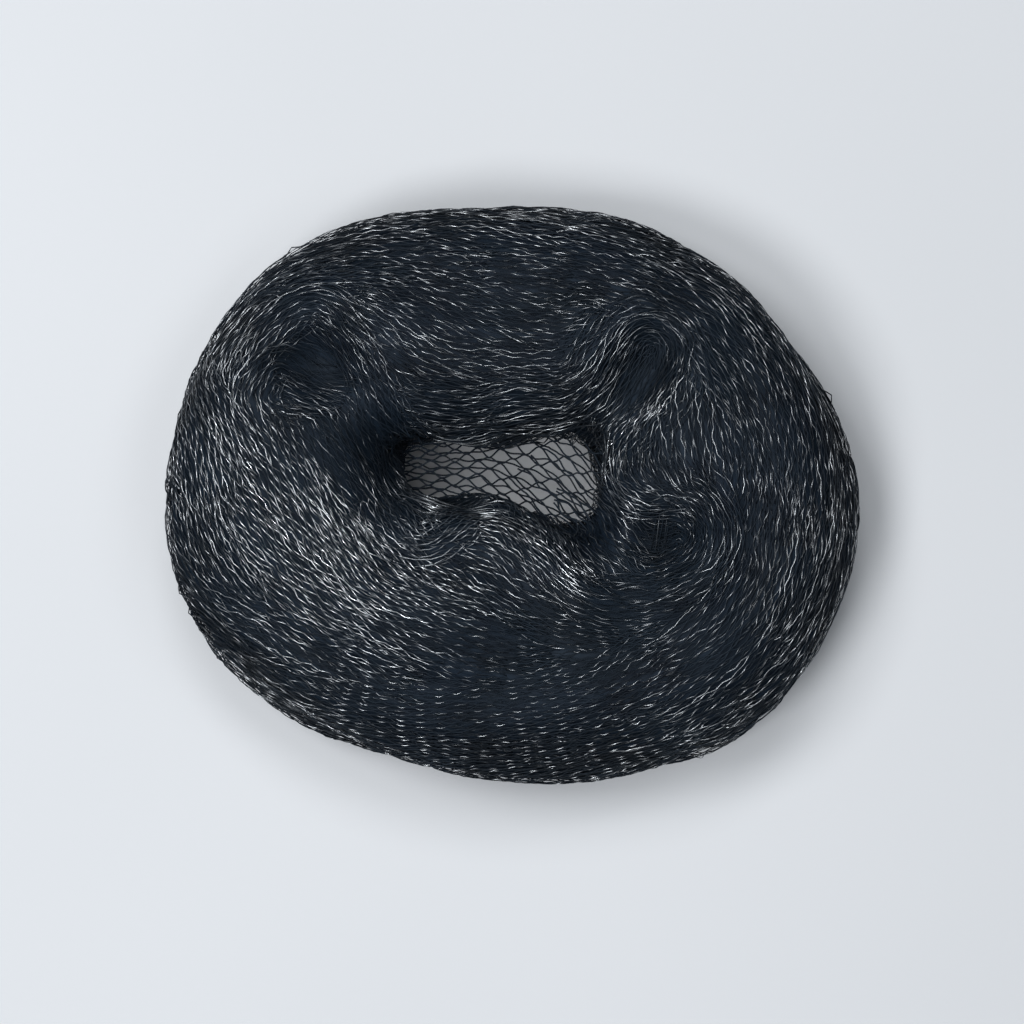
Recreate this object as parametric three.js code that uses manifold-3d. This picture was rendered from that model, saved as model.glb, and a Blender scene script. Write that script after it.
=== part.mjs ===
// A roll of fine black pond netting. One long net is gathered into a loose rope and wound into an oval ring
// that lies flat, with a stretch of the same net left loose across the eye of the ring.
// Millimetres, +Z up. The front of the roll faces up, and the roll rests on its flattened back.

import * as THREE from "three";
import { mergeVertices } from "three/addons/utils/BufferGeometryUtils.js";
import Module from "manifold-3d";

const { degToRad, smoothstep } = THREE.MathUtils;
const FULL_TURN = 2 * Math.PI;

// Size of the plain oval that the outline follows, and of the rope's crown above the surface.
const ROLL_LENGTH = 204;
const ROLL_WIDTH = 168;
const ROLL_HEIGHT = 57;

// The rope's section: 1 would be an ellipse, and less is squarer.
const SECTION_SQUARENESS = 0.8;
// How much of the round underside is pressed flat.
const SEAT_SINK = 2.2;

// Sections through the rope, evenly spaced round the ring from +X towards +Y.
// reach: the outline there, as a share of the plain oval. rimX and rimY: the eye's rim there.
// crown: the height there, as a share of the roll's height.
const SECTIONS = [
  { reach: 0.992, rimX: 24.5, rimY: 3, crown: 0.97 },
  { reach: 0.97, rimX: 24, rimY: 11.5, crown: 0.98 },
  { reach: 0.976, rimX: 19, rimY: 15.5, crown: 1.0 },
  { reach: 0.989, rimX: 10, rimY: 14.5, crown: 0.98 },
  { reach: 0.994, rimX: 1, rimY: 13.5, crown: 0.96 },
  { reach: 1.023, rimX: -9, rimY: 13.5, crown: 0.98 },
  { reach: 1.03, rimX: -18, rimY: 13.5, crown: 1.0 },
  { reach: 1.005, rimX: -27, rimY: 12, crown: 0.97 },
  { reach: 0.996, rimX: -31, rimY: 6.5, crown: 0.95 },
  { reach: 1.005, rimX: -27, rimY: 1, crown: 0.98 },
  { reach: 1.01, rimX: -19, rimY: -1.5, crown: 1.0 },
  { reach: 1.003, rimX: -10, rimY: -2.5, crown: 0.98 },
  { reach: 1.008, rimX: -1, rimY: -3.5, crown: 0.97 },
  { reach: 1.04, rimX: 8, rimY: -6, crown: 0.98 },
  { reach: 1.096, rimX: 16, rimY: -10, crown: 0.97 },
  { reach: 1.027, rimX: 23.5, rimY: -8, crown: 0.96 },
];

// Hollows on the front where the rope's folds turn back. long and wide are half sizes, turn is in degrees.
const HOLLOWS = [
  { x: -55, y: 36, long: 13, wide: 10, turn: -12, depth: 9 },
  { x: 38, y: 33, long: 17, wide: 9, turn: 58, depth: 9 },
  { x: 43, y: -15, long: 9, wide: 7.5, turn: 10, depth: 8 },
];

// Main folds on the front. Each runs from one point past another to a third, as wide to each side as width
// says, and rises above the crown or, where rise is negative, sinks below it.
const FOLDS = [
  { from: [-87, 31], past: [-63, -8], to: [-20, -42], width: 11, rise: 1.8 },
  { from: [-95, -9], past: [-66, -43], to: [-10, -61], width: 7, rise: -1.6 },
  { from: [-50, 28], past: [-39, 18], to: [-30, 9], width: 7, rise: -2 },
  { from: [-74, 38], past: [-58, 51], to: [-43, 37], width: 7, rise: 1.6 },
  { from: [-48, 56], past: [-16, 36], to: [14, 33], width: 10, rise: 1.8 },
  { from: [-32, 64], past: [3, 54], to: [30, 57], width: 7, rise: -1.5 },
  { from: [25, 35], past: [38, 53], to: [54, 38], width: 8, rise: 1.5 },
  { from: [50, 32], past: [25, 7], to: [57, -5], width: 8, rise: 2.2 },
  { from: [53, -5], past: [61, -19], to: [45, -33], width: 6, rise: 1.6 },
  { from: [64, 42], past: [70, 5], to: [66, -30], width: 7, rise: -1.5 },
  { from: [-25, -10], past: [-4, -7], to: [20, -33], width: 7, rise: 2 },
  { from: [-32, -22], past: [-8, -20], to: [11, -41], width: 6, rise: -1.6 },
  { from: [22, -10], past: [27, -21], to: [37, -29], width: 6, rise: -1.6 },
  { from: [-70, -57], past: [-2, -71], to: [64, -52], width: 10, rise: 1.2 },
];
const FOLD_STEPS = 24;

// Twist of the rope: lobes across the section, how often they turn along the ring, and their depth.
const TWIST_LOBES = 7;
const TWIST_TURNS = 5;
const TWIST_DEPTH = 0.05;

// How high up the section the front's folds begin and are full, and how low down the twist ends.
const FRONT_BEGINS = 0.2;
const FRONT_FULL = 0.75;
const BACK_BEGINS = -0.6;
const BACK_FULL = -0.95;

// The loose net across the eye: its middle, its bars, one cell, and how far it reaches into the rope.
const NET_X = -2;
const NET_Y = 5.5;
const NET_THICKNESS = 1;
const NET_BAR = 0.9;
const NET_JOINT = 1.6;
const NET_ROOT = 6;
const CELL_PITCH = 8;
const CELL_HEIGHT = 4.4;
// How the net hangs: up towards +X, down in the middle, bent towards -Y, with its cells opening towards +X.
const NET_TILT = 0.16;
const NET_SAG = 2;
const NET_SAG_REACH = 16;
const NET_BEND = 0.006;
const NET_OPENING = 0.5;
const NET_OPENING_REACH = 25;

// Fineness of the rope's surface, with more of it on the front than on the back.
const STEPS_ROUND_RING = 100;
const STEPS_ROUND_SECTION = 38;
const STEPS_ROUND_EYE = 48;
const FRONT_FINENESS = 1.6;
const BACK_FINENESS = 0.5;
const MEASURING_STEPS = 720;
const MERGE_TOLERANCE = 1e-4;

const NET_COLOUR = 0x16181b;
const NET_ROUGHNESS = 0.4;

const middleHeight = ROLL_HEIGHT / 2 - SEAT_SINK;

const wasm = await Module();
wasm.setup();

// Two columns of the sections table as a smooth closed curve.
function closedCurve(first, second) {
  const places = SECTIONS.map((row) => new THREE.Vector3(row[first], row[second], 0));
  return new THREE.CatmullRomCurve3(places, true, "catmullrom");
}

const rimCurve = closedCurve("rimX", "rimY");
const sizeCurve = closedCurve("reach", "crown");

// Point of the outline, at a share of the way round the ring.
function outlinePoint(share) {
  const direction = new THREE.Vector2(Math.cos(FULL_TURN * share), Math.sin(FULL_TURN * share));
  const { x: reach } = sizeCurve.getPoint(share);
  const radius = reach / Math.hypot(direction.x / (ROLL_LENGTH / 2), direction.y / (ROLL_WIDTH / 2));
  return direction.multiplyScalar(radius);
}

// Point of the eye's rim, at a share of the way round the ring.
function rimPoint(share) {
  const { x, y } = rimCurve.getPoint(share);
  return new THREE.Vector2(x, y);
}

// Points along each fold, on a smooth curve through its three places.
const foldLines = FOLDS.map((fold) => {
  const places = [fold.from, fold.past, fold.to].map(([x, y]) => new THREE.Vector2(x, y));
  return new THREE.SplineCurve(places).getPoints(FOLD_STEPS);
});

// How far the folds lift the front at one place.
function foldLift(place) {
  let lift = 0;
  FOLDS.forEach((fold, index) => {
    const distance = Math.min(...foldLines[index].map((point) => point.distanceTo(place)));
    lift += fold.rise * Math.exp(-((distance / fold.width) ** 2));
  });
  return lift;
}

// How far the hollows sink the front at one place.
function hollowDepth(place) {
  let depth = 0;
  for (const hollow of HOLLOWS) {
    const offset = new THREE.Vector2(place.x - hollow.x, place.y - hollow.y);
    const { x: along, y: across } = offset.rotateAround(new THREE.Vector2(), -degToRad(hollow.turn));
    depth += hollow.depth * Math.exp(-((along / hollow.long) ** 2) - (across / hollow.wide) ** 2);
  }
  return depth;
}

// A power that keeps the sign of its base.
function signedPower(base, power) {
  return Math.sign(base) * Math.abs(base) ** power;
}

// Place in a section of half width and half height 1, at an angle from its outer edge up.
function sectionPlace(angle) {
  const outward = signedPower(Math.cos(angle), SECTION_SQUARENESS);
  const upward = signedPower(Math.sin(angle), SECTION_SQUARENESS);
  return new THREE.Vector2(outward, upward);
}

// Angles round the section, spaced evenly along it but closer on the front and wider on the back.
function sectionAngles() {
  const lengths = [0];
  for (let i = 1; i <= MEASURING_STEPS; i += 1) {
    const here = sectionPlace((FULL_TURN * i) / MEASURING_STEPS);
    const before = sectionPlace((FULL_TURN * (i - 1)) / MEASURING_STEPS);
    const onFace = Math.abs(here.y) > Math.abs(here.x);
    const faceFineness = here.y > 0 ? FRONT_FINENESS : BACK_FINENESS;
    lengths.push(lengths[i - 1] + here.distanceTo(before) * (onFace ? faceFineness : 1));
  }
  const angles = [];
  for (let j = 0; j < STEPS_ROUND_SECTION; j += 1) {
    const wanted = (lengths[MEASURING_STEPS] * j) / STEPS_ROUND_SECTION;
    const step = lengths.findIndex((length) => length >= wanted);
    angles.push((FULL_TURN * step) / MEASURING_STEPS);
  }
  return angles;
}

// Point of the rope's surface, at a share of the way round the ring and an angle round its section.
function ropePoint(share, angle) {
  const { x: outward, y: upward } = sectionPlace(angle);
  const front = smoothstep(upward, FRONT_BEGINS, FRONT_FULL);
  const back = smoothstep(-upward, -BACK_BEGINS, -BACK_FULL);
  const lobes = Math.cos(TWIST_LOBES * angle + TWIST_TURNS * FULL_TURN * share);
  const swell = 1 + TWIST_DEPTH * lobes * (1 - front) * (1 - back);
  const place = rimPoint(share).lerp(outlinePoint(share), (1 + outward * swell) / 2);
  const crown = (ROLL_HEIGHT / 2) * sizeCurve.getPoint(share).y;
  const relief = front * (foldLift(place) - hollowDepth(place));
  return new THREE.Vector3(place.x, place.y, middleHeight + crown * upward * swell + relief);
}

// The rope as a closed ring.
function ropeGeometry() {
  const positions = [];
  const triangles = [];
  const angles = sectionAngles();
  for (let i = 0; i < STEPS_ROUND_RING; i += 1) {
    for (let j = 0; j < STEPS_ROUND_SECTION; j += 1) {
      const point = ropePoint(i / STEPS_ROUND_RING, angles[j]);
      positions.push(point.x, point.y, point.z);
      const nextI = (i + 1) % STEPS_ROUND_RING;
      const nextJ = (j + 1) % STEPS_ROUND_SECTION;
      const corners = [[i, j], [nextI, j], [nextI, nextJ], [i, nextJ]];
      const [a, b, c, d] = corners.map(([ring, section]) => ring * STEPS_ROUND_SECTION + section);
      triangles.push(a, b, c, a, c, d);
    }
  }
  const geometry = new THREE.BufferGeometry();
  geometry.setAttribute("position", new THREE.Float32BufferAttribute(positions, 3));
  geometry.setIndex(triangles);
  return geometry;
}

// Where a place in the even net comes to lie.
function netPlace(along, across) {
  const opening = 1 + NET_OPENING * smoothstep(along, 0, NET_OPENING_REACH);
  const bend = -NET_BEND * Math.max(0, along + CELL_PITCH) ** 2;
  return new THREE.Vector2(NET_X + along, NET_Y + across * opening + bend);
}

// One cell of the net as a six-sided hole, half a bar inside the cell on every side.
function cellPath(along, across) {
  const slant = (CELL_PITCH - 2 * NET_JOINT) / CELL_HEIGHT;
  const tip = (CELL_PITCH - NET_JOINT - NET_BAR * Math.hypot(1, slant)) / 2;
  const tall = (CELL_HEIGHT - NET_BAR) / 2;
  const shoulder = tip - slant * tall;
  const upper = [[tip, 0], [shoulder, tall], [-shoulder, tall]];
  const corners = [...upper, ...upper.map(([u, v]) => [-u, -v])];
  return new THREE.Path(corners.map(([u, v]) => netPlace(along + u, across + v)));
}

// The eye's rim let out towards the outline by some more, as a closed line.
function letOutRim(more) {
  const line = [];
  for (let i = 0; i < STEPS_ROUND_EYE; i += 1) {
    const rim = rimPoint(i / STEPS_ROUND_EYE);
    const outward = outlinePoint(i / STEPS_ROUND_EYE).sub(rim).normalize();
    line.push(rim.addScaledVector(outward, more));
  }
  return line;
}

// Whether a point lies inside a closed line.
function isInside(point, line) {
  let inside = false;
  line.forEach((end, index) => {
    const start = line[(index + line.length - 1) % line.length];
    const crosses = start.y > point.y !== end.y > point.y;
    const share = (point.y - start.y) / (end.y - start.y);
    if (crosses && point.x < start.x + share * (end.x - start.x)) {
      inside = !inside;
    }
  });
  return inside;
}

// The net's cells that lie inside a closed line, each second row half a cell along.
function cellPaths(limit) {
  const rows = Math.ceil(ROLL_WIDTH / 2 / CELL_HEIGHT);
  const columns = Math.ceil(ROLL_LENGTH / 2 / CELL_PITCH);
  const paths = [];
  for (let row = -rows; row <= rows; row += 1) {
    for (let column = -columns; column <= columns; column += 1) {
      const shift = row % 2 === 0 ? 0 : CELL_PITCH / 2;
      const path = cellPath(column * CELL_PITCH + shift, (row * CELL_HEIGHT) / 2);
      if (path.getPoints().every((point) => isInside(point, limit))) {
        paths.push(path);
      }
    }
  }
  return paths;
}

// The loose net: a thin sheet that reaches into the rope all round, with its cells cut through.
function netGeometry() {
  const sheet = new THREE.Shape(letOutRim(NET_ROOT));
  sheet.holes = cellPaths(letOutRim(NET_ROOT - NET_BAR));
  const geometry = new THREE.ExtrudeGeometry(sheet, { depth: NET_THICKNESS, bevelEnabled: false });
  const places = geometry.getAttribute("position");
  for (let i = 0; i < places.count; i += 1) {
    const along = places.getX(i) - NET_X;
    const sag = NET_SAG * Math.exp(-((along / NET_SAG_REACH) ** 2));
    places.setZ(i, places.getZ(i) + middleHeight + NET_TILT * along - sag);
  }
  return geometry;
}

// A closed three.js geometry as a solid for joining and cutting.
function toSolid(geometry) {
  const plain = geometry.clone();
  plain.deleteAttribute("normal");
  plain.deleteAttribute("uv");
  const merged = mergeVertices(plain, MERGE_TOLERANCE);
  const vertProperties = new Float32Array(merged.getAttribute("position").array);
  const triVerts = new Uint32Array(merged.getIndex().array);
  return new wasm.Manifold(new wasm.Mesh({ numProp: 3, vertProperties, triVerts }));
}

// A solid back as a three.js geometry.
function toGeometry(solid) {
  const mesh = solid.getMesh();
  const geometry = new THREE.BufferGeometry();
  geometry.setAttribute("position", new THREE.BufferAttribute(mesh.vertProperties, 3));
  geometry.setIndex(new THREE.BufferAttribute(mesh.triVerts, 1));
  geometry.computeVertexNormals();
  return geometry;
}

// What lies below the resting height, as a block that takes the round of the underside away.
function surfaceGeometry() {
  const block = new THREE.BoxGeometry(2 * ROLL_LENGTH, 2 * ROLL_WIDTH, ROLL_HEIGHT);
  return block.translate(0, 0, -ROLL_HEIGHT / 2);
}

// The whole roll, with its middle over the origin.
function rollGeometry() {
  const rope = toSolid(ropeGeometry());
  const net = toSolid(netGeometry());
  const surface = toSolid(surfaceGeometry());
  const geometry = toGeometry(rope.add(net).subtract(surface));
  geometry.computeBoundingBox();
  const middle = geometry.boundingBox.getCenter(new THREE.Vector3());
  return geometry.translate(-middle.x, -middle.y, 0);
}

const netting = new THREE.MeshStandardMaterial({ color: NET_COLOUR, roughness: NET_ROUGHNESS, metalness: 0 });
const roll = new THREE.Mesh(rollGeometry(), netting);
roll.name = "net_roll";

const group = new THREE.Group();
group.add(roll);

export default group;
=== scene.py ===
# The look of a roll of pond netting: one long net gathered into a rope and wound into a flat oval ring.
# Lengths are millimetres until a mesh is made, and x and y run from the middle of the roll's oval.

import math

import bpy
import numpy as np
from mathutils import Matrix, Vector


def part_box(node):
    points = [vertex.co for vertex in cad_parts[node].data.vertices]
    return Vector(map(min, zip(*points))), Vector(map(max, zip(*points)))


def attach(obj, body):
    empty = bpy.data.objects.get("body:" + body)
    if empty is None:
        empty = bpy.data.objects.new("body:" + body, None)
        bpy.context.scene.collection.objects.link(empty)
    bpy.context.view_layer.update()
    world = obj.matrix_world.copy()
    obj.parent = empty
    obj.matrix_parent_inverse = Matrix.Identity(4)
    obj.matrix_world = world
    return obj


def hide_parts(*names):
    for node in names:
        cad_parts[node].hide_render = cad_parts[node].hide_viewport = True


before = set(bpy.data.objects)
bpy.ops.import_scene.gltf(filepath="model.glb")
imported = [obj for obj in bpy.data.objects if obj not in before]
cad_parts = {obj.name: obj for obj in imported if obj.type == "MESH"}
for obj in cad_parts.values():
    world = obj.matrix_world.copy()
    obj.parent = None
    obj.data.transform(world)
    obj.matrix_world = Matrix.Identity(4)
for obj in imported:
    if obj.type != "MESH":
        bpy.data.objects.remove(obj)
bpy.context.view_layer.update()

NODE = "net_roll"
FULL_TURN = 2 * math.pi
HALF = 0.5
TINY = 1e-9
SEED = 6451
random = np.random.default_rng(SEED)

# The frame's box sets the scale: the sizes below are those of a roll whose box is this long.
DRAWN_LENGTH = 204.5
roll_low, roll_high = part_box(NODE)
METRES = (roll_high.x - roll_low.x) / DRAWN_LENGTH

# The rope's form, as the solid has it, with a slightly blunter end to its eye.
ROLL_LENGTH = 204
ROLL_WIDTH = 168
ROLL_HEIGHT = 57
SECTION_SQUARENESS = 0.8
SEAT_SINK = 2.2
MIDDLE_HEIGHT = ROLL_HEIGHT / 2 - SEAT_SINK

# Sections evenly spaced round the ring from +X towards +Y: the outline as a share of the plain oval,
# the place of the eye's rim, and the height as a share of the roll's.
SECTIONS = np.array(
    [
        (0.992, 24.5, 3, 0.97),
        (0.97, 24, 11.5, 0.98),
        (0.976, 19, 15.5, 1.0),
        (0.989, 10, 14.5, 0.98),
        (0.994, 1, 13.5, 0.96),
        (1.023, -9, 13.5, 0.98),
        (1.03, -18, 13.5, 1.0),
        (1.005, -29.5, 13, 0.97),
        (0.996, -32, 7, 0.95),
        (1.005, -29.5, 0.5, 0.98),
        (1.01, -19, -1.5, 1.0),
        (1.003, -10, -2.5, 0.98),
        (1.008, -1, -3.5, 0.97),
        (1.04, 8, -6, 0.98),
        (1.096, 16, -10, 0.97),
        (1.027, 23.5, -8, 0.96),
    ]
)

# Hollows on the front: middle, half length, half width, turn in degrees and depth.
HOLLOWS = [
    ((-55, 36), 13, 10, -12, 9),
    ((38, 33), 17, 9, 58, 9),
    ((43, -15), 9, 7.5, 10, 8),
]
DEEPEST_HOLLOW = max(hollow[-1] for hollow in HOLLOWS)

# Main folds on the front: three places that each runs through, its half width and its rise.
FOLDS = [
    ([(-87, 31), (-63, -8), (-20, -42)], 11, 1.8),
    ([(-95, -9), (-66, -43), (-10, -61)], 7, -1.6),
    ([(-50, 28), (-39, 18), (-30, 9)], 7, -2),
    ([(-74, 38), (-58, 51), (-43, 37)], 7, 1.6),
    ([(-48, 56), (-16, 36), (14, 33)], 10, 1.8),
    ([(-32, 64), (3, 54), (30, 57)], 7, -1.5),
    ([(25, 35), (38, 53), (54, 38)], 8, 1.5),
    ([(50, 32), (25, 7), (57, -5)], 8, 2.2),
    ([(53, -5), (61, -19), (45, -33)], 6, 1.6),
    ([(64, 42), (70, 5), (66, -30)], 7, -1.5),
    ([(-25, -10), (-4, -7), (20, -33)], 7, 2),
    ([(-32, -22), (-8, -20), (11, -41)], 6, -1.6),
    ([(22, -10), (27, -21), (37, -29)], 6, -1.6),
    ([(-70, -57), (-2, -71), (64, -52)], 10, 1.2),
]

# Twist of the rope's sides, and how far up and down the section the front and the back begin.
TWIST_LOBES = 7
TWIST_TURNS = 5
TWIST_DEPTH = 0.05
FRONT_BEGINS = 0.2
FRONT_FULL = 0.75
BACK_BEGINS = 0.6
BACK_FULL = 0.95

# Lines that the strands follow on the front, the steps between two places of a line, and how near to a line
# its pull levels off.
FLOW_LINES = [
    [(-68, 45), (-57, 51), (-49, 44), (-44.5, 35), (-39, 25)],
    [(-53, 51), (-41, 41), (-30, 32)],
    [(-42, 49), (-22, 35), (-4, 30), (17, 28), (26, 38), (31, 46.5), (38, 51), (47, 48), (49.6, 42)],
    [(49.6, 42), (45, 31), (36, 21), (29, 14), (26, 7), (27, 1), (32, -4), (40, -6), (52, -4), (59.5, -10)],
    [(59.5, -10), (60, -14), (58, -18)],
    [(45, -8), (52, -10.5), (53, -17), (47, -22)],
    [(36, 16), (32, 9), (33, 2), (39, -3)],
    [(58, -18), (50, -25), (38, -28)],
    [(-30, 22), (-10, 21), (0, 24)],
    [(41, 16), (43, 10.5), (48, 2.5), (54, -2)],
    [(51, 26), (52.5, 12), (57, 1), (62, -9)],
    [(52, 44), (62, 28), (68, 7), (66.5, -14), (59.5, -32), (45, -46), (24, -55)],
    [(38, 59), (59.5, 45), (73.5, 24), (78, 0), (73.5, -21), (64, -39), (45, -53), (17, -62)],
    [(57, -7), (59.5, -18), (52, -29), (38, -35), (24, -35)],
    [(64, -10), (66.5, -21), (58, -35), (40, -43), (17, -43)],
    [(-81, -35), (-39, -56), (-4, -60), (31, -57.5), (59.5, -43)],
    [(-91, 35), (-74, 7), (-53, -21), (-39, -33), (-11, -42)],
    [(-96, 10), (-84, -18), (-62, -40)],
    [(-62, 18), (-50, 0), (-36, -16), (-20, -28)],
    [(-42, 21), (-36, 7), (-25, -7)],
    [(-22, -10), (-8, -4), (3, -10), (10, -18), (14.5, -25), (24, -32), (38, -35)],
    [(23, -7), (26, -15), (33, -21), (34, -25), (43, -28), (52, -25)],
    [(-70, 63), (-25, 69), (17, 65), (52, 55)],
    [(-87, 44), (-77, 55), (-63, 60.5), (-46, 66)],
    [(-81, 31), (-75, 42), (-67, 51)],
    [(-57, 27.5), (-51, 27), (-46, 27.5)],
    [(-62, 40), (-56, 37), (-50, 31)],
    [(-53, 18), (-48, 12), (-43, 7)],
]
FLOW_STEPS = 8
FLOW_SOFTNESS = 3.5
# Below the front the flow turns to a plain twist on the back, from the first of these angles above the
# section's middle to the second below it, and the sides even it out over so many cells of the ring each way.
FLOW_EDGE = math.radians(38)
FLOW_BACK = math.radians(60)
FLOW_BLEND = 14
BACK_TWIST = math.radians(14)

# Fineness of the grid that the strands are laid on, round the ring and round the section, and the least
# size of one of its cells.
RING_CELLS = 360
SECTION_CELLS = 180
LEAST_CELL = 0.05

# One twine of the net: its radius, its sides, the part of a turn that brings one of them up, how unevenly
# it rolls, the bar between two joints, and the steps of one bar.
TWINE_RADIUS = 0.16
TWINE_SIDES = 3
TWINE_UPRIGHT = 1 / 12
TWINE_ROLL = 0.2
BAR_LENGTH = 2.8
BAR_STEPS = 2
STEP = BAR_LENGTH / BAR_STEPS
# Where the joints and the middles of the bars are among the points of a strand.
AT_JOINTS = slice(None, None, BAR_STEPS)
AT_BARS = slice(BAR_STEPS // 2, None, BAR_STEPS)
# How unevenly joints lie up and aside, how many spring loose and how far, how far a joint may close, and the
# power that sets how long two twines run together there: the smaller, the longer.
JOINT_UNEVEN = (0.03, 0.1)
JOINT_ASIDE = 0.1
LOOSE_SHARE = 0.004
LOOSE_HEIGHT = (0.6, 1.8)
JOINT_REACH = 0.3
JOINT_SQUARENESS = 0.6

# Bands of net: strands side by side, bars along them, how far they turn off the flow, the least strands and
# bars, how far the ends tuck in, and the places along a band where its room to the side is looked at.
BAND_STRANDS = (10, 24)
BAND_BARS = (28, 56)
BAND_TURN = math.radians(5)
FEWEST_STRANDS = 2
FEWEST_BARS = 4
TUCK_STEPS = 4
ROOM_PLACES = (0.25, 0.5, 0.75)
# Layers of net, the deepest first: depth, spacing of the strands, shine, and how far down the section it
# goes, as the sine of the angle there.
LAYERS = [
    (1.5, (0.9, 1.3), 0.35, -0.35),
    (0.4, (0.8, 1.2), 1.0, -2.0),
]
# How far a band sinks at its edges and its ends, how far its strands wave up, down and aside, the cells that
# tell where net lies already, how finely a band fills them, and the lowest that a strand may lie.
EDGE_SINK = 0.5
END_SINK = 2.4
END_REACH = 2.5
WAVE_HEIGHT = 0.25
WAVE_ASIDE = 0.4
WAVE_LENGTH = (12, 40)
COVER_CELLS = (240, 120)
FILL_PARTS = 3
LOWEST = 0.3

# Glints: the chance of one on a bar that slants one way or the other, the strength, and what of it is left
# at the joint of two that shine and at the joint with a dull bar. Some strands have long glints, with a
# chance of one on any bar.
GLINT_CHANCE = (0.4, 0.1)
GLINT_STRENGTH = (0.1, 0.54)
GLINT_JOIN = 0.8
GLINT_END = 0.12
LONG_SHARE = 0.07
LONG_CHANCE = 0.85
# Lines on the front where glints lie close, each with its half width, their chance and strength there, and
# spots where glints are few: the middle and the half width.
BRIGHT_LINES = [
    ([(-90, 20), (-66, -8), (-40, -30), (-20, -38)], 22),
    ([(42, 26), (29, 14), (27, 3), (34, -5)], 7),
    ([(-26, -8), (-8, -8), (6, -13), (16, -22)], 9),
]
BRIGHT_CHANCE = 0.9
BRIGHT_STRENGTH = (0.55, 1.0)
QUIET_SPOTS = [((-42, 18), 13), ((3, -43), 17), ((35, -31), 8)]
QUIET_SHARE = 0.7
# The part of the front where glints shrink to dots, at every second joint of every second strand: their
# share, how far down they begin, and how steep a strand may run there.
DOT_EVERY = 2
DOT_SHARE = 0.7
DOT_PLACE = (24, 46)
DOT_SLOPE = (0.2, 0.5)
# How deep in a hollow, and how far round to the wall of the eye, strands turn dull. The dulling in the
# hollows is painted shade: it darkens the deep hollows as shade would.
HOLLOW_DULL = (0.3, 0.85)
WALL_DULL = (0.985, 1.0)

# The packed net under the bands: its depth, which of the grid's rings it has, how high its ridges are, the
# steps of a streak each way and their length, and the percentages of the streaks that are taken as dark and
# as light.
CORE_DEPTH = 2.5
CORE_SKIP = 2
RIDGE_HEIGHT = 0.6
STREAK_STEPS = 10
STREAK_STEP = 1
STREAK_ENDS = (2, 98)

# The most triangles in one piece, apart from the ends of its twine.
PIECE_TRIANGLES = 180000

# The loose net across the eye: how it lies, much as the solid has it.
NET_X = -2
NET_Y = 5.5
NET_TILT = 0.16
NET_SAG = 2
NET_SAG_REACH = 16
NET_BEND = 0.0105
NET_BEND_FROM = -9
NET_THICKNESS = 1
# Its twine and its bars, the power at its joints, how its cells open towards +X, how unevenly the net and its
# joints lie, and its shine.
NET_RADIUS = 0.3
NET_BAR = 3.7
NET_BAR_STEPS = 4
NET_SQUARENESS = 1.0
NET_OPENING = 0.9
NET_OPENING_REACH = (-27, 22)
NET_UNEVEN = 0.8
NET_WAVES = (48, 28)
NET_JOINT_ASIDE = 0.35
NET_JOINT_UNEVEN = 0.3
NET_SHINE = 0.0
# Its layers: reach along it, turn in degrees, first and last strand, spacing, how far joints may close, and
# how far the layer is lifted.
NET_LAYERS = [
    ((-37, 33), 0, (-9, 12), 1.45, 4, 0),
    ((-36, 30), -4, (-3, 4), 2.3, 0.35, -2),
    ((2, 31), -35, (-2, 3), 3.4, 0.5, 2.5),
    ((15, 33), -8, (-3, 2), 1.2, 0.5, 3.5),
]

# Colours of the twine and of the packed net, from dark to light, where between 0 and 1 they begin and end,
# and how dull and glossy they are.
TWINE_DARK = (0.0018, 0.0031, 0.0049)
TWINE_LIGHT = (0.0042, 0.0069, 0.0104)
PACKED_DARK = (0.0024, 0.0042, 0.0067)
PACKED_LIGHT = (0.0042, 0.0071, 0.0112)
TWINE_TONES = (0.35, 0.65)
PACKED_TONES = (0.3, 0.9)
DULL_ROUGHNESS = 0.6
GLOSSY_ROUGHNESS = (0.14, 0.28)
DULL_SPECULAR = 0.025
GLOSSY_SPECULAR = 1.0
TWINE_IOR = 2.2
COAT_ROUGHNESS = 0.2
COAT_IOR = 2.8
PACKED_ROUGHNESS = (0.5, 0.75)
PACKED_SPECULAR = 0.05
# Noise in the materials, as waves to a metre, how detailed it is, and the depth of the bump in metres.
TONE_WAVES = 60
TONE_DETAIL = 3
GLOSS_WAVES = 350
GRAIN_WAVES = 2500
FINE_DETAIL = 2
GRAIN_DEPTH = 0.00003

# Studio: the camera's height in metres, the width of its view on the roll's middle plane, where it looks and
# its sensor, and the floor's size in metres, colours, where between 0 and 1 they begin and end, and finish.
CAMERA_HEIGHT = 0.95
VIEW_WIDTH = 302
VIEW_MIDDLE = (0.6, -6.5)
SENSOR = 36
FLOOR_SIZE = 4
FLOOR_PALE = (0.245, 0.239, 0.237)
FLOOR_DARK = (0.231, 0.226, 0.224)
FLOOR_TONES = (0.3, 0.7)
FLOOR_ROUGHNESS = 0.7
FLOOR_WAVES = 3
# Soft lights round about: their distance and size in metres, the bearing, the tilt from straight above and
# the power of each, and their colour; and the fill from all round.
LIGHT_DISTANCE = 1.8
LIGHT_SIZE = 0.6
LIGHTS = [(150, 27, 27), (90, 27, 19), (215, 27, 38), (20, 27, 6), (150, 11, 11), (320, 22, 6)]
LIGHT_COLOUR = (0.90, 0.95, 1.0)
WORLD_COLOUR = (0.62, 0.80, 1.0)
WORLD_STRENGTH = 0.22


# Curves and directions.


def signed_power(base, power):
    """A power that keeps the sign of its base."""
    return np.sign(base) * np.abs(base) ** power


def smoothstep(values, low, high):
    """0 below low, 1 above high and a smooth rise between."""
    share = np.clip((values - low) / (high - low), 0, 1)
    return share * share * (3 - 2 * share)


def cosine_sine(degrees):
    """Cosine and sine of an angle in degrees."""
    return math.cos(math.radians(degrees)), math.sin(math.radians(degrees))


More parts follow.
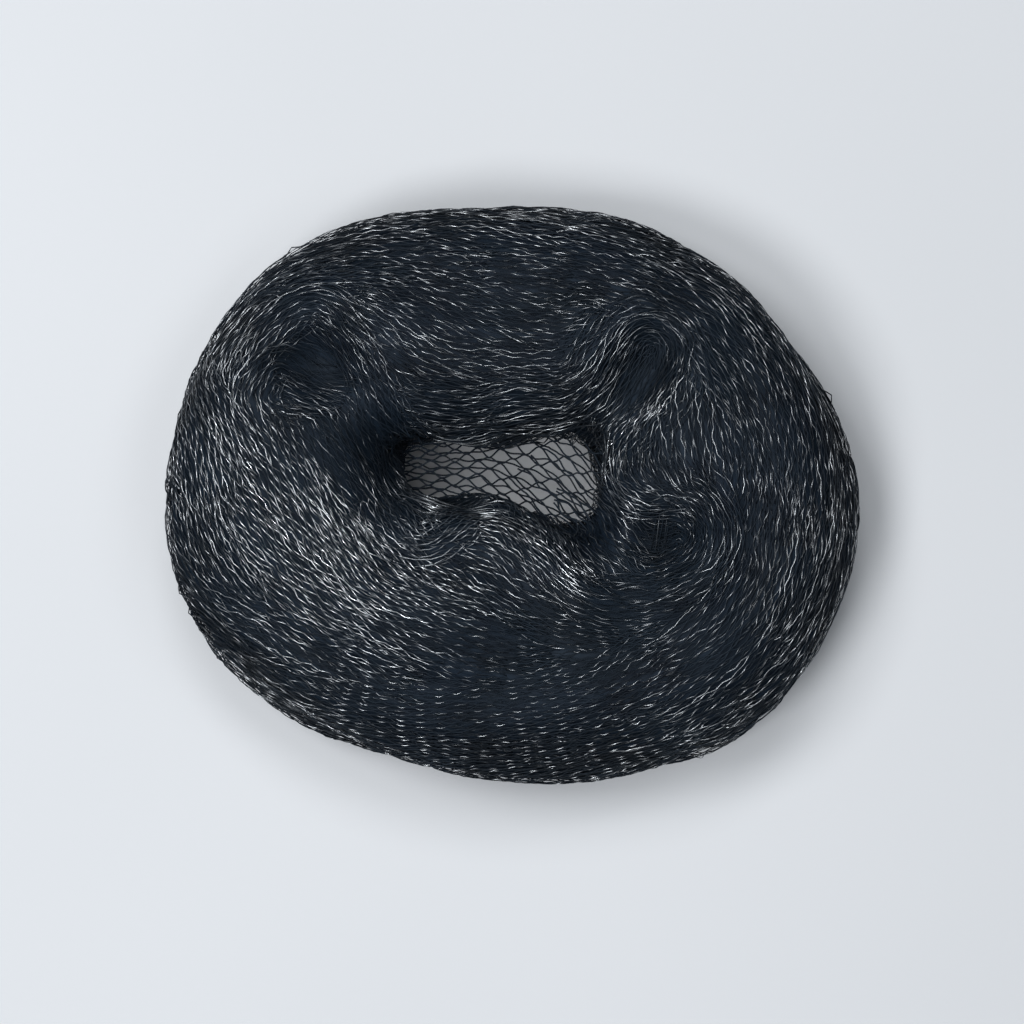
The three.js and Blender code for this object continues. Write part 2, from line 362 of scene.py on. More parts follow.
def unit(vectors):
    """Vectors brought to length 1."""
    return vectors / np.maximum(np.linalg.norm(vectors, axis=-1, keepdims=True), TINY)


def spline(before, start, end, after, share):
    """Smooth curve from start to end, with slopes set by the places before and after."""
    slope_out = (end - before) / 2
    slope_in = (after - start) / 2
    return (
        (2 * share**3 - 3 * share**2 + 1) * start
        + (share**3 - 2 * share**2 + share) * slope_out
        + (3 * share**2 - 2 * share**3) * end
        + (share**3 - share**2) * slope_in
    )


def open_line(places, steps):
    """Points of a smooth line through places, with so many steps between each two."""
    padded = np.array([places[0], *places, places[-1]], float)
    share = np.arange(steps)[:, None] / steps
    spans = [spline(*padded[i : i + 4], share) for i in range(len(places) - 1)]
    return np.concatenate([*spans, padded[-1:]])


def near_line(x, y, places, width):
    """1 on a smooth line through places, and less with the distance from it."""
    nearest = np.full_like(x, np.inf)
    for line_x, line_y in open_line(places, FLOW_STEPS):
        nearest = np.minimum(nearest, (x - line_x) ** 2 + (y - line_y) ** 2)
    return np.exp(-nearest / width**2)


def finer(rows, parts):
    """Rows of values with more between each two in a row, so many parts apart."""
    spans = rows.shape[1] - 1
    place = np.arange(spans * parts + 1) / parts
    first = np.minimum(np.floor(place).astype(int), spans - 1)
    share = place - first
    return rows[:, first] * (1 - share) + rows[:, first + 1] * share


def strand_runs(lines):
    """The way that strands run at each of their points, at length 1."""
    return unit(np.gradient(lines, axis=1))


# The rope's form.


def section_angles():
    """Angles round the section, from its outer edge up."""
    return FULL_TURN * np.arange(SECTION_CELLS) / SECTION_CELLS


def section_values(shares):
    """Outline share, rim and height share, between the sections of the table."""
    place = shares * len(SECTIONS)
    first = np.floor(place).astype(int)
    rows = [SECTIONS[(first + step) % len(SECTIONS)] for step in (-1, 0, 1, 2)]
    return spline(*rows, (place - first)[..., None])


def fold_lift(x, y):
    """How far the folds lift the front."""
    lift = np.zeros_like(x)
    for places, width, rise in FOLDS:
        lift += rise * near_line(x, y, places, width)
    return lift


def hollow_depth(x, y):
    """How far the hollows sink the front."""
    depth = np.zeros_like(x)
    for (middle_x, middle_y), long, wide, turn, deepest in HOLLOWS:
        cosine, sine = cosine_sine(turn)
        along = (x - middle_x) * cosine + (y - middle_y) * sine
        across = (y - middle_y) * cosine - (x - middle_x) * sine
        depth += deepest * np.exp(-((along / long) ** 2) - (across / wide) ** 2)
    return depth


def rope_points():
    """Points of the rope's surface on the grid: round the ring, round the section, and the three axes."""
    shares = np.arange(RING_CELLS) / RING_CELLS
    angles = section_angles()[None, :]
    reach, rim_x, rim_y, crown = (column[:, None] for column in section_values(shares).T)
    turn = FULL_TURN * shares[:, None]
    radius = reach / np.hypot(np.cos(turn) / (ROLL_LENGTH / 2), np.sin(turn) / (ROLL_WIDTH / 2))
    outward = signed_power(np.cos(angles), SECTION_SQUARENESS)
    upward = signed_power(np.sin(angles), SECTION_SQUARENESS)
    front = smoothstep(upward, FRONT_BEGINS, FRONT_FULL)
    back = smoothstep(-upward, BACK_BEGINS, BACK_FULL)
    lobes = np.cos(TWIST_LOBES * angles + TWIST_TURNS * turn)
    swell = 1 + TWIST_DEPTH * lobes * (1 - front) * (1 - back)
    across = (1 + outward * swell) / 2
    x = rim_x + (radius * np.cos(turn) - rim_x) * across
    y = rim_y + (radius * np.sin(turn) - rim_y) * across
    relief = front * (fold_lift(x, y) - hollow_depth(x, y))
    z = MIDDLE_HEIGHT + ROLL_HEIGHT / 2 * crown * upward * swell + relief
    return np.stack([x, y, np.maximum(z, 0)], axis=-1)


# The flow of the strands over the rope.


def doubled(angle):
    """Cosine and sine of twice an angle, so that opposite directions agree."""
    return np.stack([np.cos(2 * angle), np.sin(2 * angle)], axis=-1)


def evened(rows):
    """Values round the ring, each the mean of its neighbours."""
    shifts = range(-FLOW_BLEND, FLOW_BLEND + 1)
    return np.mean([np.roll(rows, shift, axis=0) for shift in shifts], axis=0)


def front_flow(x, y):
    """Doubled direction of the strands on the front, as a cosine and a sine."""
    flow = np.zeros(x.shape + (2,))
    for places in FLOW_LINES:
        line = open_line(places, FLOW_STEPS)
        for start, end in zip(line[:-1], line[1:]):
            step_x, step_y = end - start
            middle_x, middle_y = (start + end) / 2
            distance = (x - middle_x) ** 2 + (y - middle_y) ** 2
            weight = math.hypot(step_x, step_y) / (distance + FLOW_SOFTNESS**2) ** 2
            flow += weight[..., None] * doubled(np.array(math.atan2(step_y, step_x)))
    return unit(flow)


def plane_flow(points, round_ring, round_section):
    """Doubled direction of the front's strands on the grid, from the ring's run towards the section's."""
    plane = front_flow(points[..., 0], points[..., 1])
    direction = np.arctan2(plane[..., 1], plane[..., 0]) / 2
    x, y = np.cos(direction), np.sin(direction)
    along = x * round_section[..., 1] - y * round_section[..., 0]
    across = round_ring[..., 0] * y - round_ring[..., 1] * x
    along *= np.linalg.norm(round_ring, axis=-1)
    across *= np.linalg.norm(round_section, axis=-1)
    return doubled(np.arctan2(across, along))


def rope_flow(front):
    """The front's flow, turned to a plain twist down the sides and over the back."""
    flow = front.copy()
    angles = section_angles()
    back = doubled(np.array(BACK_TWIST))
    flow[:, (angles < FLOW_EDGE) | (angles > math.pi - FLOW_EDGE)] = back
    reach = FLOW_EDGE + FLOW_BACK
    for edge_angle, way in ((FLOW_EDGE, -1), (math.pi - FLOW_EDGE, 1)):
        edge = front[:, np.argmin(np.abs(angles - edge_angle))]
        between = evened(edge)
        below = way * (angles - edge_angle) % FULL_TURN
        for cell in np.flatnonzero(below < reach):
            share = smoothstep(below[cell], 0, reach)
            blended = edge * (1 - share) ** 2 + between * 2 * share * (1 - share) + back * share**2
            flow[:, cell] = unit(blended)
    return flow


def rope_form():
    """The rope's surface, its normals and the strands' flow on one grid, and where its middle lies."""
    points = rope_points()
    round_ring = (np.roll(points, -1, axis=0) - np.roll(points, 1, axis=0)) / 2
    round_section = (np.roll(points, -1, axis=1) - np.roll(points, 1, axis=1)) / 2
    normals = unit(np.cross(round_ring, round_section))
    flow = rope_flow(plane_flow(points, round_ring, round_section))
    sizes = np.stack([np.linalg.norm(run, axis=-1) for run in (round_ring, round_section)], axis=-1)
    middle = (points.min(axis=(0, 1)) + points.max(axis=(0, 1))) / 2
    return {
        "places": np.concatenate([points, normals], axis=-1),
        "steering": np.concatenate([flow, 1 / np.maximum(sizes, LEAST_CELL)], axis=-1),
        "shift": middle * (1, 1, 0),
    }


# Ways over the rope's grid.


def read_grid(grid, cells):
    """Values between the cells of a grid that closes on itself both ways."""
    low = np.floor(cells).astype(int)
    ring_share, section_share = np.split(cells - low, 2, axis=-1)
    ring = low[..., 0] % RING_CELLS
    section = low[..., 1] % SECTION_CELLS
    next_ring = (ring + 1) % RING_CELLS
    next_section = (section + 1) % SECTION_CELLS
    here = grid[ring, section] * (1 - section_share) + grid[ring, next_section] * section_share
    there = grid[next_ring, section] * (1 - section_share) + grid[next_ring, next_section] * section_share
    return here * (1 - ring_share) + there * ring_share


def move(form, cells, heading, length, turn=0.0):
    """Cells moved by a length along the flow, or at a turn to it, on a heading's side, and the way gone."""
    steering = read_grid(form["steering"], cells)
    angle = np.arctan2(steering[..., 1], steering[..., 0]) / 2 + turn
    direction = np.stack([np.cos(angle), np.sin(angle)], axis=-1)
    forward = np.sum(direction * heading, axis=-1, keepdims=True)
    direction = np.where(forward < 0, -direction, direction)
    return cells + direction * steering[..., 2:] * np.asarray(length)[..., None], direction


def sidestep(form, cells, headings, spacing):
    """Cells moved straight to the side of their headings, over the surface."""
    aside = np.stack([-headings[..., 1], headings[..., 0]], axis=-1)
    return cells + aside * read_grid(form["steering"], cells)[..., 2:] * spacing


def cover_cells(cells):
    """Cells of the cover grid that places on the fine grid fall in."""
    share = np.floor(cells * np.array(COVER_CELLS) / (RING_CELLS, SECTION_CELLS)).astype(int)
    return share[..., 0] % COVER_CELLS[0], share[..., 1] % COVER_CELLS[1]


# Bands of net side by side.


def trace_half(form, seed, heading, turn, covered, most):
    """Cells and headings at a turn to the flow from a seed, until net lies there already and a tuck more."""
    cells = seed
    half = []
    tucked = 0
    while len(half) < most and tucked < TUCK_STEPS:
        cells, heading = move(form, cells, heading, STEP, turn)
        half.append((cells, heading))
        if tucked or covered[cover_cells(cells)]:
            tucked += 1
    return half


def trace_line(form, seed, covered):
    """Cells and headings of one line along the flow through a seed, a whole number of bars long."""
    turn = random.normal(0, BAND_TURN)
    _, heading = move(form, seed, random.normal(size=2), 0.0, turn)
    most = random.integers(*BAND_BARS) * BAR_STEPS // 2
    ahead = trace_half(form, seed, heading, turn, covered, most)
    behind = trace_half(form, seed, -heading, turn, covered, most)
    line = [(cells, -way) for cells, way in reversed(behind)] + [(seed, heading)] + ahead
    bars = (len(line) - 1) // BAR_STEPS
    line = line[: bars * BAR_STEPS + 1]
    return np.array([cells for cells, _ in line]), np.array([way for _, way in line])


def free_strands(form, seed, heading, covered, spacing, most):
    """How many strands fit beside a seed on one side before other net of the same layer."""
    cells = seed
    for count in range(most):
        cells = sidestep(form, cells, heading, spacing)
        if covered[cover_cells(cells)]:
            return count
    return most


def trace_band(form, seed, covered, spacing):
    """Cells of a band (strand, step): a line along the flow with strands beside it, as many as fit."""
    line, headings = trace_line(form, seed, covered)
    most = random.integers(*BAND_STRANDS) // 2
    steps = [int(len(line) * place) for place in ROOM_PLACES]
    strands = [line]
    for way in (1, -1):
        fitting = max(
            free_strands(form, line[step], headings[step], covered, way * spacing, most) for step in steps
        )
        cells = line
        for _ in range(fitting):
            cells = sidestep(form, cells, headings, way * spacing)
            strands.append(cells)
        strands.reverse()
    return np.array(strands)


def filled(cells):
    """Cells of a band, with those between its strands and its steps."""
    both = [finer(finer(cells[..., axis], FILL_PARTS).T, FILL_PARTS).T for axis in (0, 1)]
    return np.stack(both, axis=-1)


# Net knitted from strands.


def wave(strands, steps):
    """A slow swing along each strand, different on every one, from -1 to 1."""
    length = random.uniform(*WAVE_LENGTH, (strands, 1))
    start = random.uniform(size=(strands, 1))
    return np.sin(FULL_TURN * (np.arange(steps)[None, :] * STEP / length + start))


def shared_joints(values):
    """Values of the joints between strands (gap, joint), for the strands that meet there in turn."""
    gaps, joints = values.shape
    strand = np.arange(gaps - 1)[:, None]
    joint = np.arange(joints)[None, :]
    meets_next = (strand + joint) % 2 == 0
    return values[strand + meets_next, joint]


def joint_heights(size):
    """How high joints lie: most a little up or down, and a few that spring loose far up."""
    heights = random.normal(0, random.uniform(*JOINT_UNEVEN), size)
    loose = random.uniform(size=size) < LOOSE_SHARE
    return np.where(loose, random.uniform(*LOOSE_HEIGHT, size), heights)


def knit(points, ups, steps, reach, squareness, heights, offsets):
    """Strands drawn to their neighbours at the joints, to one side and then the other."""
    strands, count, _ = points.shape
    bar = np.arange(count) / steps
    swing = signed_power(np.cos(math.pi * (bar[None, :] + np.arange(strands)[:, None])), squareness)
    above = np.concatenate([points[1:], points[-1:]]) - points
    below = np.concatenate([points[:1], points[:-1]]) - points
    towards = np.where((swing > 0)[..., None], above, below)
    distance = np.linalg.norm(towards, axis=-1, keepdims=True)
    towards = towards * np.minimum(HALF, reach / np.maximum(distance, TINY))
    rise = finer(shared_joints(heights), steps)
    aside = finer(shared_joints(offsets), steps)
    runs = strand_runs(points)
    return (
        points
        + towards * np.abs(swing)[..., None]
        + ups * rise[..., None]
        + np.cross(ups, runs) * aside[..., None]
    )


# Glints on the strands.


def quiet(x, y):
    """How far the quiet spots take glints away, from 0 to 1."""
    share = np.zeros_like(x)
    for (spot_x, spot_y), width in QUIET_SPOTS:
        share += QUIET_SHARE * np.exp(-((x - spot_x) ** 2 + (y - spot_y) ** 2) / width**2)
    return share


def dashes(middles):
    """Glints along bars (strand, bar): most on bars that slant one way, many on some strands."""
    strands, bars, _ = middles.shape
    x, y = middles[..., 0], middles[..., 1]
    slant = (np.arange(strands)[:, None] + np.arange(bars) + random.integers(2)) % 2
    long = random.uniform(size=(strands, 1)) < LONG_SHARE
    bright = np.max([near_line(x, y, *line) for line in BRIGHT_LINES], axis=0)
    favoured = GLINT_CHANCE[0] + (BRIGHT_CHANCE - GLINT_CHANCE[0]) * bright
    chance = np.where(long, LONG_CHANCE, np.where(slant == 0, favoured, GLINT_CHANCE[1]))
    lit = random.uniform(size=(strands, bars)) < chance * (1 - quiet(x, y))
    plain = random.uniform(*GLINT_STRENGTH, (strands, bars))
    strong = random.uniform(*BRIGHT_STRENGTH, (strands, bars))
    return lit * (plain + (strong - plain) * bright)


def dots(strands, joints):
    """Glints at joints (strand, joint): every second one of every second strand."""
    row = np.arange(strands)[:, None] % DOT_EVERY == 0
    column = np.arange(joints) % DOT_EVERY == 0
    lit = random.uniform(size=(strands, joints)) < DOT_SHARE
    return row * column * lit * random.uniform(*GLINT_STRENGTH, (strands, joints))


def dot_chance(points):
    """How likely it is that strands shine in dots: low down on the front, and where they run level."""
    slope = np.abs(strand_runs(points)[..., 1])
    return smoothstep(-points[..., 1], *DOT_PLACE) * (1 - smoothstep(slope, *DOT_SLOPE))


def glints(points):
    """How strongly strands shine at their points, from 0 to 1: in dashes, or in dots low down."""
    strands, count, _ = points.shape
    at_bars = dashes(points[:, AT_BARS])
    padded = np.pad(at_bars, ((0, 0), (1, 1)))
    before, after = padded[:, :-1], padded[:, 1:]
    joined = GLINT_JOIN * np.minimum(before, after)
    at_joints = np.maximum(joined, GLINT_END * np.maximum(before, after))
    dotted = random.uniform(size=(strands, 1)) < dot_chance(points)
    shine = np.zeros((strands, count))
    shine[:, AT_JOINTS] = at_joints
    shine[:, AT_BARS] = at_bars
    spots = np.zeros((strands, count))
    spots[:, AT_JOINTS] = dots(strands, at_joints.shape[1])
    return np.where(dotted, spots, shine)


def in_the_open(points, ups, cells):
    """1 where strands lie in the open, and less in the hollows, where the dulling is painted shade, and on
    the wall of the eye.
    """
    share = hollow_depth(points[..., 0], points[..., 1]) / DEEPEST_HOLLOW
    # Painted shade: glints fade out the deeper a strand lies in a hollow.
    in_hollow = smoothstep(share, *HOLLOW_DULL) * (ups[..., 2] > 0)
    inward = -np.cos(FULL_TURN * cells[..., 1] / SECTION_CELLS)
    return (1 - in_hollow) * (1 - smoothstep(inward, *WALL_DULL))


# The wound net, and the loose net across the eye.


def band_twine(form, cells, depth, shine):
    """The twine of one band, with its ends and edges tucked in: points, the way up and the shine there."""
    places = read_grid(form["places"], cells)
    points, ups = places[..., :3], unit(places[..., 3:])
    strands, count, _ = points.shape
    gaps = (strands + 1, (count - 1) // BAR_STEPS + 1)
    edge = np.linspace(-1, 1, strands)[:, None] ** 2
    from_start = np.arange(count)[None, :] * STEP
    ends = np.exp(-from_start / END_REACH) + np.exp(-from_start[:, ::-1] / END_REACH)
    sink = depth + EDGE_SINK * edge + END_SINK * ends + WAVE_HEIGHT * wave(strands, count)
    aside = np.cross(ups, strand_runs(points)) * WAVE_ASIDE * wave(strands, count)[..., None]
    lines = knit(
        points - ups * sink[..., None] + aside,
        ups,
        BAR_STEPS,
        JOINT_REACH,
        JOINT_SQUARENESS,
        joint_heights(gaps),
        random.normal(0, JOINT_ASIDE, gaps),
    )
    lines[..., 2] = np.maximum(lines[..., 2], LOWEST)
    return lines, ups, shine * glints(points) * in_the_open(points, ups, cells)


def wind_layer(form, depth, spacing, shine, lowest):
    """One layer of net down to a place on the section: bands beside each other until none fits."""
    angles = FULL_TURN * (np.arange(COVER_CELLS[1]) + HALF) / COVER_CELLS[1]
    covered = np.repeat(np.sin(angles)[None, :] < lowest, COVER_CELLS[0], axis=0)
    bands = []
    while not covered.all():
        free = np.argwhere(~covered)
        place = free[random.integers(len(free))]
        seed = (place + random.uniform(size=2)) * (RING_CELLS, SECTION_CELLS) / COVER_CELLS
        covered[tuple(place)] = True
        cells = trace_band(form, seed, covered, random.uniform(*spacing))
        if cells.shape[0] < FEWEST_STRANDS or cells.shape[1] < FEWEST_BARS * BAR_STEPS:
            continue
        covered[cover_cells(filled(cells[:, TUCK_STEPS:-TUCK_STEPS]))] = True
        bands.append(band_twine(form, cells, depth, shine))
    return bands


def uneven(along, across):
    """Slow swings along and across the loose net, from -1 to 1."""
    start = random.uniform(0, FULL_TURN, 2)
    swing_along = np.sin(along * FULL_TURN / NET_WAVES[0] + start[0])
    return swing_along * np.sin(across * FULL_TURN / NET_WAVES[1] + start[1])


def eye_points(along, across, turn, lift):
    """Points of a layer of the loose net: turned, bent, sagging, and tilted along +X."""
    drift = uneven(along, across)
    u = along + NET_UNEVEN * uneven(along, across)
    v = across * (1 + NET_OPENING * smoothstep(along, *NET_OPENING_REACH)) + NET_UNEVEN * drift
    cosine, sine = cosine_sine(turn)
    u, v = u * cosine - v * sine, u * sine + v * cosine
    x = NET_X + u
    y = NET_Y + v - NET_BEND * np.maximum(0, u - NET_BEND_FROM) ** 2
    sag = NET_SAG * np.exp(-((u / NET_SAG_REACH) ** 2))
    z = MIDDLE_HEIGHT + NET_THICKNESS / 2 + lift + NET_TILT * u - sag + NET_UNEVEN * drift
    return np.stack([x, y, z], axis=-1)


def eye_net(reach, turn, strands, spacing, closing, lift):
    """One layer of loose net across the eye: its points, the way up and the shine there."""
    bars = round((reach[1] - reach[0]) / NET_BAR)
    along = reach[0] + np.arange(bars * NET_BAR_STEPS + 1)[None, :] * NET_BAR / NET_BAR_STEPS
    across = np.arange(strands[0], strands[1] + 1)[:, None] * spacing
    points = eye_points(*np.broadcast_arrays(along, across), turn, lift)
    ups = np.broadcast_to(np.array([0.0, 0.0, 1.0]), points.shape)
    gaps = (len(points) + 1, bars + 1)
    heights = random.normal(0, NET_JOINT_UNEVEN, gaps)
    offsets = random.normal(0, NET_JOINT_ASIDE, gaps)
    lines = knit(points, ups, NET_BAR_STEPS, closing, NET_SQUARENESS, heights, offsets)
    return lines, ups, np.full(lines.shape[:2], NET_SHINE)


# Materials.


def new_material(name):
    """A node material, with its node tree and its main shader."""
    material = bpy.data.materials.new(name)
    material.use_nodes = True
    tree = material.node_tree
    return material, tree, tree.nodes["Principled BSDF"]


def add_noise(tree, scale, detail):
    """A noise node in the object's own space."""
    place = tree.nodes.new("ShaderNodeTexCoord")
    noise = tree.nodes.new("ShaderNodeTexNoise")
    noise.inputs["Scale"].default_value = scale
    noise.inputs["Detail"].default_value = detail
    tree.links.new(place.outputs["Object"], noise.inputs["Vector"])
    return noise.outputs["Fac"]


def add_ramp(tree, value, ends, dark, light):
    """A colour ramp from dark to light between two values."""
    ramp = tree.nodes.new("ShaderNodeValToRGB")
    for element, place, colour in zip(ramp.color_ramp.elements, ends, (dark, light)):
        element.position = place
        element.color = (*colour, 1)
    tree.links.new(value, ramp.inputs["Fac"])
    return ramp.outputs["Color"]


def add_range(tree, value, low, high):
    """A value from 0 to 1 brought to another range."""
    node = tree.nodes.new("ShaderNodeMapRange")
    node.inputs["To Min"].default_value = low
    node.inputs["To Max"].default_value = high
    tree.links.new(value, node.inputs["Value"])
    return node


def add_attribute(tree, name):
    """A value that the piece holds for each of its points."""
    node = tree.nodes.new("ShaderNodeAttribute")
    node.attribute_name = name
    return node.outputs["Fac"]


def add_grain(tree, shader):
    """A fine grain that breaks up the gloss."""
    node = tree.nodes.new("ShaderNodeBump")
    node.inputs["Distance"].default_value = GRAIN_DEPTH
    tree.links.new(add_noise(tree, GRAIN_WAVES, FINE_DETAIL), node.inputs["Height"])
    tree.links.new(node.outputs["Normal"], shader.inputs["Normal"])


def twine_material():
    """Black polyethylene twine: near black, a little blue, and glossy where a strand catches the light."""
    material, tree, shader = new_material("netting_twine")
    tone = add_noise(tree, TONE_WAVES, TONE_DETAIL)
    colour = add_ramp(tree, tone, TWINE_TONES, TWINE_DARK, TWINE_LIGHT)
    tree.links.new(colour, shader.inputs["Base Color"])
    shine = add_attribute(tree, "shine")
    gloss = add_range(tree, add_noise(tree, GLOSS_WAVES, FINE_DETAIL), *GLOSSY_ROUGHNESS)
    roughness = add_range(tree, shine, DULL_ROUGHNESS, GLOSSY_ROUGHNESS[1])
    tree.links.new(gloss.outputs["Result"], roughness.inputs["To Max"])
    tree.links.new(roughness.outputs["Result"], shader.inputs["Roughness"])
    specular = add_range(tree, shine, DULL_SPECULAR, GLOSSY_SPECULAR)
    tree.links.new(specular.outputs["Result"], shader.inputs["Specular IOR Level"])
    tree.links.new(shine, shader.inputs["Coat Weight"])
    shader.inputs["IOR"].default_value = TWINE_IOR
    shader.inputs["Coat Roughness"].default_value = COAT_ROUGHNESS
    shader.inputs["Coat IOR"].default_value = COAT_IOR
    add_grain(tree, shader)
    return material


def packed_material():
    """The net packed under the surface: dull, and streaked along its strands."""
    material, tree, shader = new_material("netting_packed")
    colour = add_ramp(tree, add_attribute(tree, "streak"), PACKED_TONES, PACKED_DARK, PACKED_LIGHT)
    tree.links.new(colour, shader.inputs["Base Color"])
    gloss = add_range(tree, add_noise(tree, GLOSS_WAVES, FINE_DETAIL), *PACKED_ROUGHNESS)
    tree.links.new(gloss.outputs["Result"], shader.inputs["Roughness"])
    shader.inputs["Specular IOR Level"].default_value = PACKED_SPECULAR
    add_grain(tree, shader)
    return material


# Pieces.


def twine_rings(lines, ups, radius):
    """Corners of the twine's sides along each line, with one flat side up."""
    runs = strand_runs(lines)
    aside = unit(np.cross(runs, ups))
    over = np.cross(aside, runs)
    roll = random.normal(0, TWINE_ROLL, lines.shape[:1])[:, None, None]
    corners = []
    for corner in range(TWINE_SIDES):
        angle = FULL_TURN * (corner / TWINE_SIDES + TWINE_UPRIGHT) + roll
        corners.append(lines + radius * (np.cos(angle) * aside + np.sin(angle) * over))
    return np.stack(corners, axis=2)


def twine_faces(strands, count):
    """Corner numbers of the sides and the two ends of twines that are so many points long."""
    first = np.arange(strands)[:, None, None] * count * TWINE_SIDES
    step = np.arange(count - 1)[None, :, None] * TWINE_SIDES
    side = np.arange(TWINE_SIDES)[None, None, :]
    next_side = (side + 1) % TWINE_SIDES
    here = first + step
    there = here + TWINE_SIDES
    sides = np.stack([here + side, here + next_side, there + next_side, there + side], axis=-1)
    starts = first[:, :, 0] + np.arange(TWINE_SIDES)[::-1]
    ends = first[:, :, 0] + (count - 1) * TWINE_SIDES + np.arange(TWINE_SIDES)
    return sides.reshape(-1, 4), np.concatenate([starts, ends])


def make_mesh(name, vertices, quads, triangles):
    """A mesh object from points in millimetres and the corner numbers of its faces."""
    mesh = bpy.data.meshes.new(name)
    corners = np.concatenate([quads.ravel(), triangles.ravel()]).astype(np.int32)
    quad_starts = np.arange(len(quads)) * quads.shape[1]
    triangle_starts = quads.size + np.arange(len(triangles)) * triangles.shape[1]
    starts = np.concatenate([quad_starts, triangle_starts]).astype(np.int32)
    mesh.vertices.add(len(vertices))
    mesh.vertices.foreach_set("co", (vertices * METRES).astype(np.float32).ravel())
    mesh.loops.add(len(corners))
    mesh.loops.foreach_set("vertex_index", corners)
    mesh.polygons.add(len(starts))
    mesh.polygons.foreach_set("loop_start", starts)
    mesh.update(calc_edges=True)
    piece = bpy.data.objects.new(name, mesh)
    bpy.context.scene.collection.objects.link(piece)
    return piece


def set_attribute(piece, name, values):
    """A value for each point of a piece, for its material to read."""
    attribute = piece.data.attributes.new(name, "FLOAT", "POINT")
    attribute.data.foreach_set("value", values.ravel().astype(np.float32))


def finish_piece(piece, material):
    """Gives a piece its material and its place in the frame."""
    piece.data.materials.append(material)
    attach(piece, "root")
    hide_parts(NODE)


def make_twine(name, form, bands, radius, material):
    """One piece made of the twine of several bands."""
    vertices, quads, triangles, shines = [], [], [], []
    made = 0
    for lines, ups, shine in bands:
        rings = twine_rings(lines, ups, radius).reshape(-1, 3) - form["shift"]
        sides, ends = twine_faces(*lines.shape[:2])
        vertices.append(rings)
        quads.append(sides + made)
        triangles.append(ends + made)
        shines.append(np.repeat(shine.ravel(), TWINE_SIDES))
        made += len(rings)
    piece = make_mesh(name, np.concatenate(vertices), np.concatenate(quads), np.concatenate(triangles))
    piece.data.shade_smooth()
    set_attribute(piece, "shine", np.concatenate(shines))
    finish_piece(piece, material)


def band_triangles(band):
    """Triangles that the sides of a band's twine take, two for each step of a side."""
    strands, count, _ = band[0].shape
    return strands * (count - 1) * TWINE_SIDES * 2


def make_net(form, material):
    """The wound net, in pieces of a size that is easy to handle."""
    groups = [[]]
    size = 0
    for layer in LAYERS:
        for band in wind_layer(form, *layer):
            if size + band_triangles(band) > PIECE_TRIANGLES:
                groups.append([])
                size = 0
            groups[-1].append(band)
            size += band_triangles(band)
    for number, group in enumerate(groups, start=1):
        make_twine(f"wound_net_{number}", form, group, TWINE_RADIUS, material)


def make_eye_net(form, material):
    """The loose net across the eye, with more layers over one end."""
    layers = [eye_net(*layer) for layer in NET_LAYERS]
    make_twine("eye_net", form, layers, NET_RADIUS, material)


def streaks(form):
    """Noise drawn out along the flow, from 0 to 1, on the grid."""
    noise = random.uniform(size=(RING_CELLS, SECTION_CELLS, 1))
    ring, section = np.meshgrid(np.arange(RING_CELLS), np.arange(SECTION_CELLS), indexing="ij")
    start = np.stack([ring, section], axis=-1).astype(float)
    total = np.zeros((RING_CELLS, SECTION_CELLS, 1))
    for way in (1.0, -1.0):
        cells = start
        heading = np.full(start.shape, way)
        for _ in range(STREAK_STEPS):
            cells, heading = move(form, cells, heading, STREAK_STEP)
            total += read_grid(noise, cells)
    low, high = np.percentile(total, STREAK_ENDS)
    return np.clip((total[..., 0] - low) / (high - low), 0, 1)


def make_core(form, material):
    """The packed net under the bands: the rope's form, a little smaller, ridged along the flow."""
    streak = streaks(form)[::CORE_SKIP]
    places = form["places"][::CORE_SKIP]
    height = RIDGE_HEIGHT * (streak - HALF) - CORE_DEPTH
    points = places[..., :3] + places[..., 3:] * height[..., None]
    points[..., 2] = np.maximum(points[..., 2], LOWEST)
    ring = np.arange(len(points))[:, None]
    section = np.arange(SECTION_CELLS)[None, :]
    next_ring = (ring + 1) % len(points)
    next_section = (section + 1) % SECTION_CELLS
    corners = [(ring, section), (next_ring, section), (next_ring, next_section), (ring, next_section)]
    quads = np.stack([row * SECTION_CELLS + column for row, column in corners], axis=-1).reshape(-1, 4)
    no_triangles = np.zeros((0, 3), int)
    piece = make_mesh("packed_net", points.reshape(-1, 3) - form["shift"], quads, no_triangles)
    piece.data.shade_smooth()
    set_attribute(piece, "streak", streak)
    finish_piece(piece, material)


# Studio.


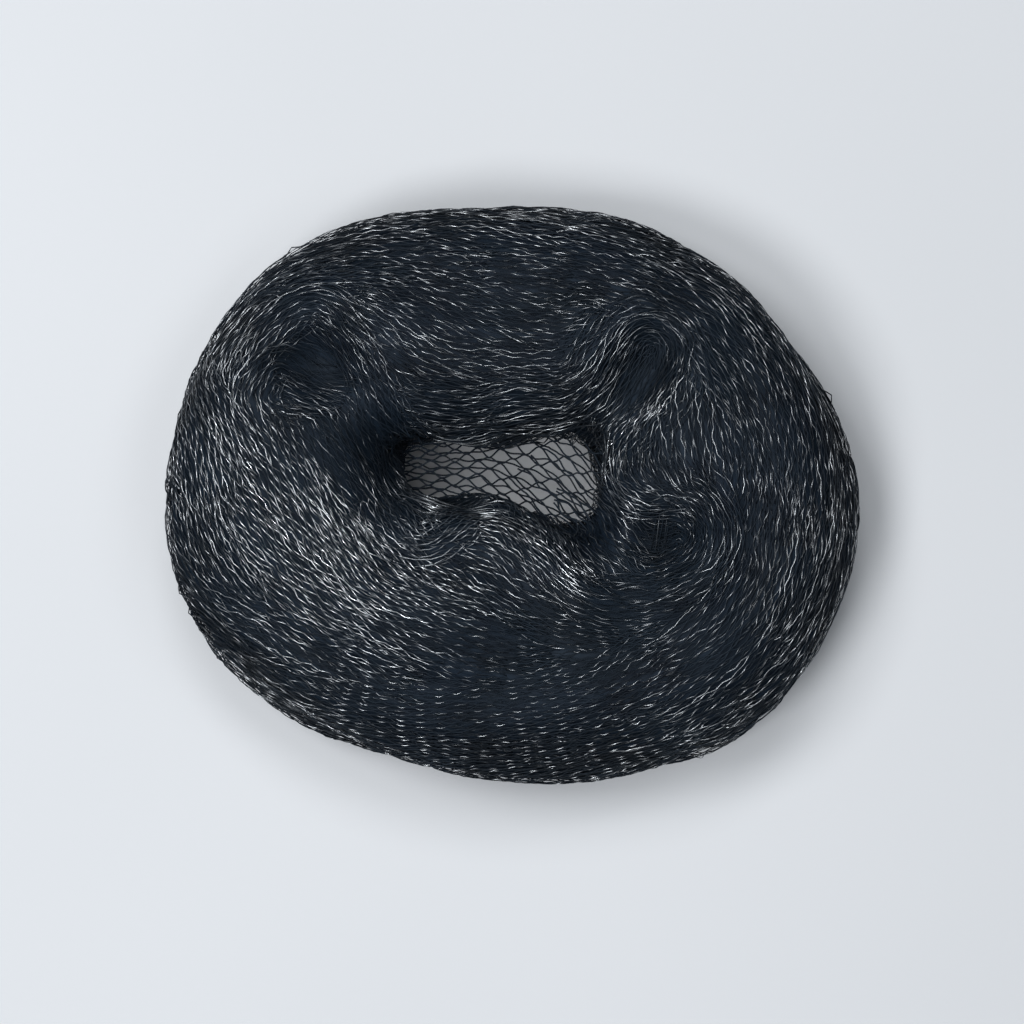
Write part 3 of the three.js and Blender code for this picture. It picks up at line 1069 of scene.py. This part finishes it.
def make_floor():
    """A plain pale floor."""
    bpy.ops.mesh.primitive_plane_add(size=FLOOR_SIZE, location=(0, 0, 0))
    floor = bpy.context.object
    floor.name = "floor"
    material, tree, shader = new_material("floor_paint")
    tone = add_noise(tree, FLOOR_WAVES, FINE_DETAIL)
    colour = add_ramp(tree, tone, FLOOR_TONES, FLOOR_DARK, FLOOR_PALE)
    tree.links.new(colour, shader.inputs["Base Color"])
    shader.inputs["Roughness"].default_value = FLOOR_ROUGHNESS
    floor.data.materials.append(material)


def make_camera(form):
    """A camera straight above the roll."""
    camera = bpy.data.cameras.new("camera")
    distance = CAMERA_HEIGHT - MIDDLE_HEIGHT * METRES
    camera.sensor_width = SENSOR
    camera.lens = SENSOR * distance / (VIEW_WIDTH * METRES)
    holder = bpy.data.objects.new("camera", camera)
    middle = (np.array([*VIEW_MIDDLE, 0]) - form["shift"]) * METRES
    holder.location = (middle[0], middle[1], CAMERA_HEIGHT)
    bpy.context.scene.collection.objects.link(holder)
    bpy.context.scene.camera = holder


def make_light(number, bearing, tilt, power):
    """One soft light that looks at the roll from a bearing."""
    light = bpy.data.lights.new(f"light_{number}", "AREA")
    light.shape = "DISK"
    light.size = LIGHT_SIZE
    light.energy = power
    light.color = LIGHT_COLOUR
    holder = bpy.data.objects.new(f"light_{number}", light)
    height, aside = (LIGHT_DISTANCE * part for part in cosine_sine(tilt))
    x, y = (aside * part for part in cosine_sine(bearing))
    holder.location = (x, y, height)
    holder.rotation_euler = (-holder.location).to_track_quat("-Z", "Y").to_euler()
    bpy.context.scene.collection.objects.link(holder)


def make_world():
    """An even fill from all round, and colours shown as they are."""
    world = bpy.data.worlds.new("studio")
    world.use_nodes = True
    background = world.node_tree.nodes["Background"]
    background.inputs["Color"].default_value = (*WORLD_COLOUR, 1)
    background.inputs["Strength"].default_value = WORLD_STRENGTH
    bpy.context.scene.world = world
    bpy.context.scene.view_settings.view_transform = "Standard"


# The whole scene.


def main():
    """Makes the roll and the studio round it."""
    form = rope_form()
    twine = twine_material()
    make_core(form, packed_material())
    make_net(form, twine)
    make_eye_net(form, twine)
    make_floor()
    make_camera(form)
    for number, light in enumerate(LIGHTS, start=1):
        make_light(number, *light)
    make_world()


main()
